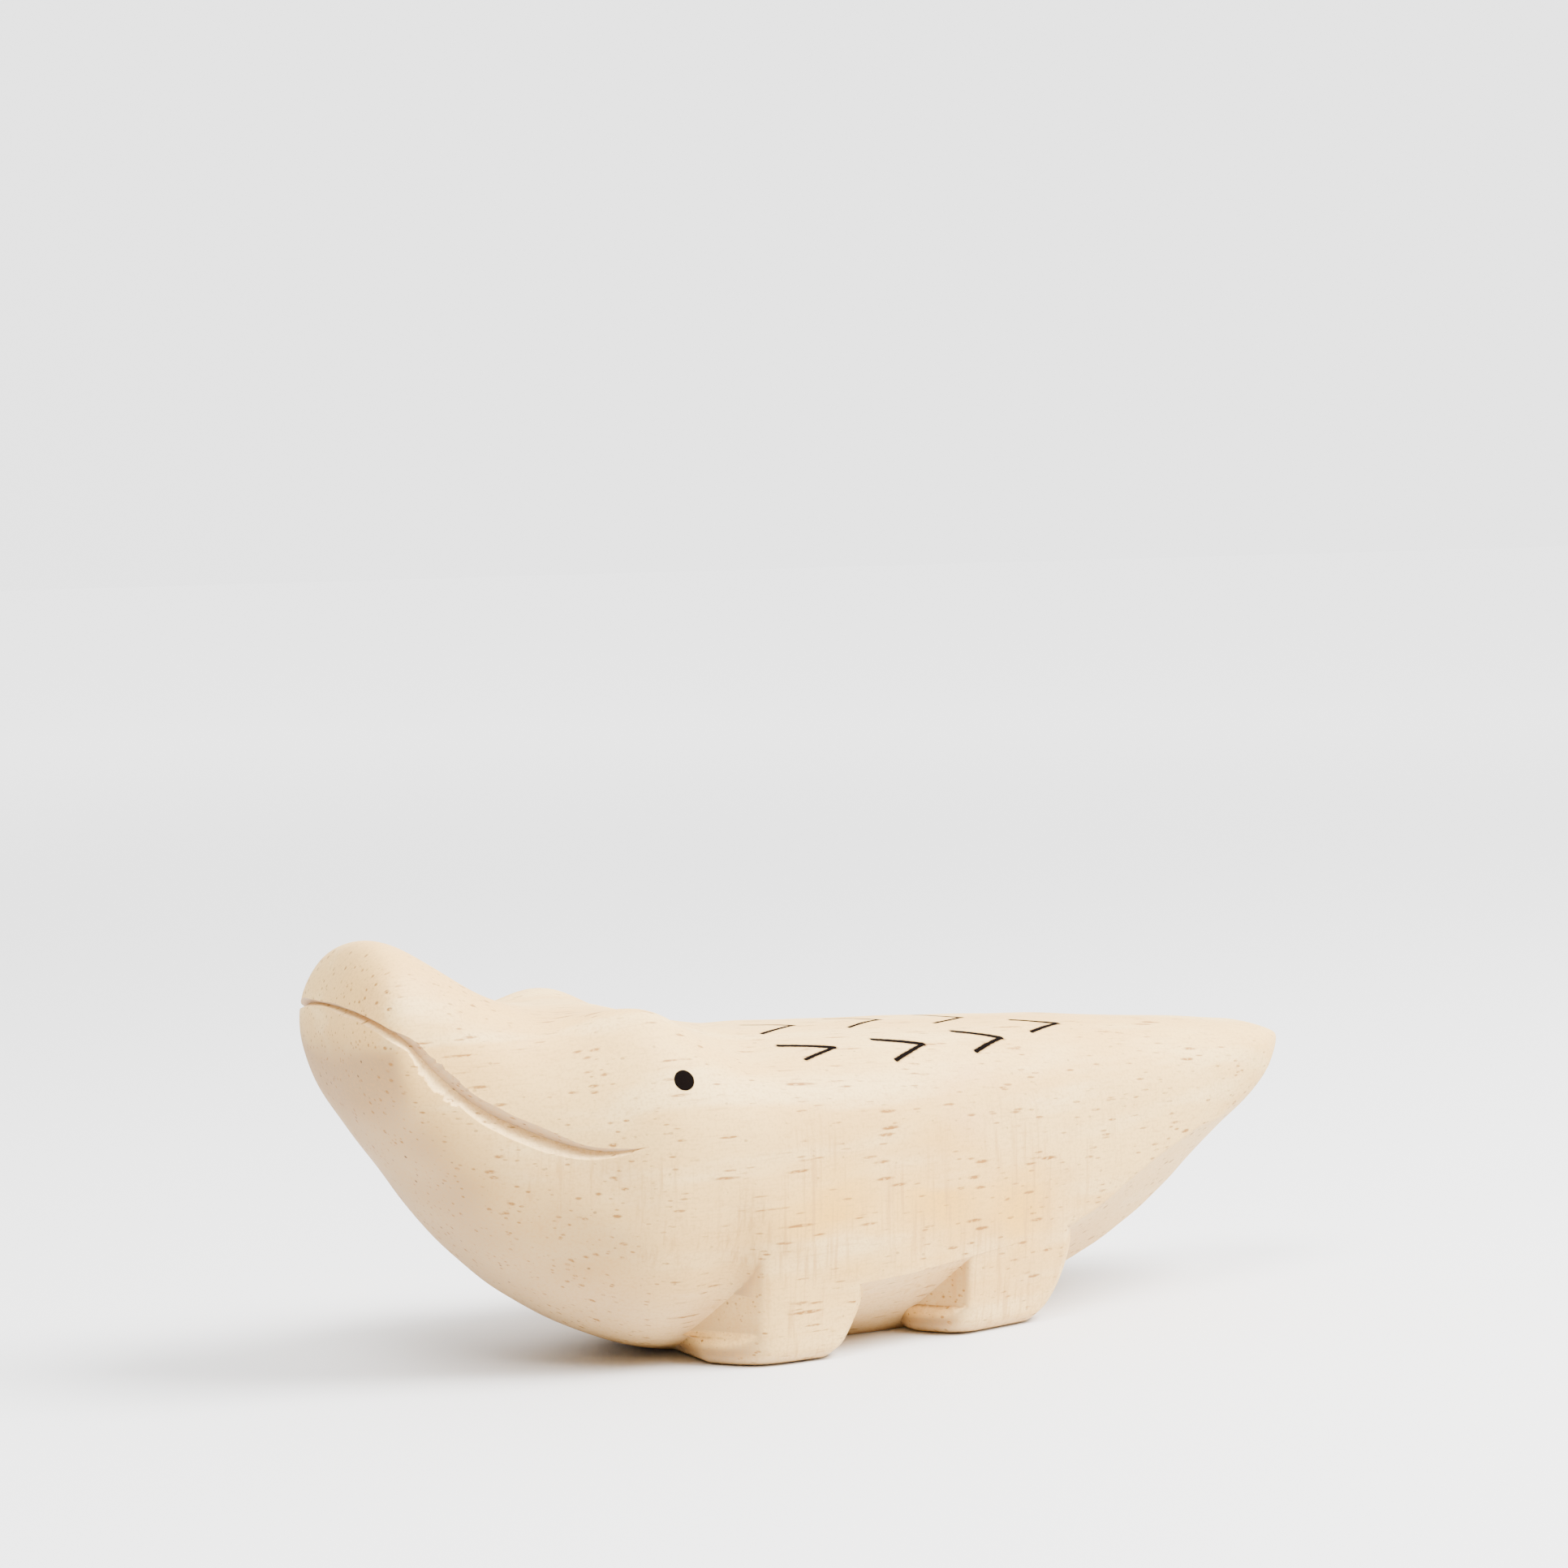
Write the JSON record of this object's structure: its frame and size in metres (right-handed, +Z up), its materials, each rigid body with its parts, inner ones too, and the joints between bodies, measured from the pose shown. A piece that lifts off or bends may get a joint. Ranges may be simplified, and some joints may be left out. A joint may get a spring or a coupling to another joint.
{
  "type": "crocodile figurine",
  "caption": "Small carved wooden crocodile figurine with a raised snout, knife-cut mouth, short faceted legs and a flat underside to stand on",
  "frame": {"origin": "centre of the body's length and width, on the plane of the soles", "axes": "+X to the tail, -Y to the animal's left side, +Z up"},
  "size_m": [0.1656, 0.0552, 0.0642],
  "materials": {
    "pale_wood": "satin, hand carved and lightly sanded, unvarnished; small tan pores; eye dots and V marks burnt dark brown"
  },
  "bodies": {
    "root": {"crocodile": "pale_wood"}
  },
  "joints": []
}
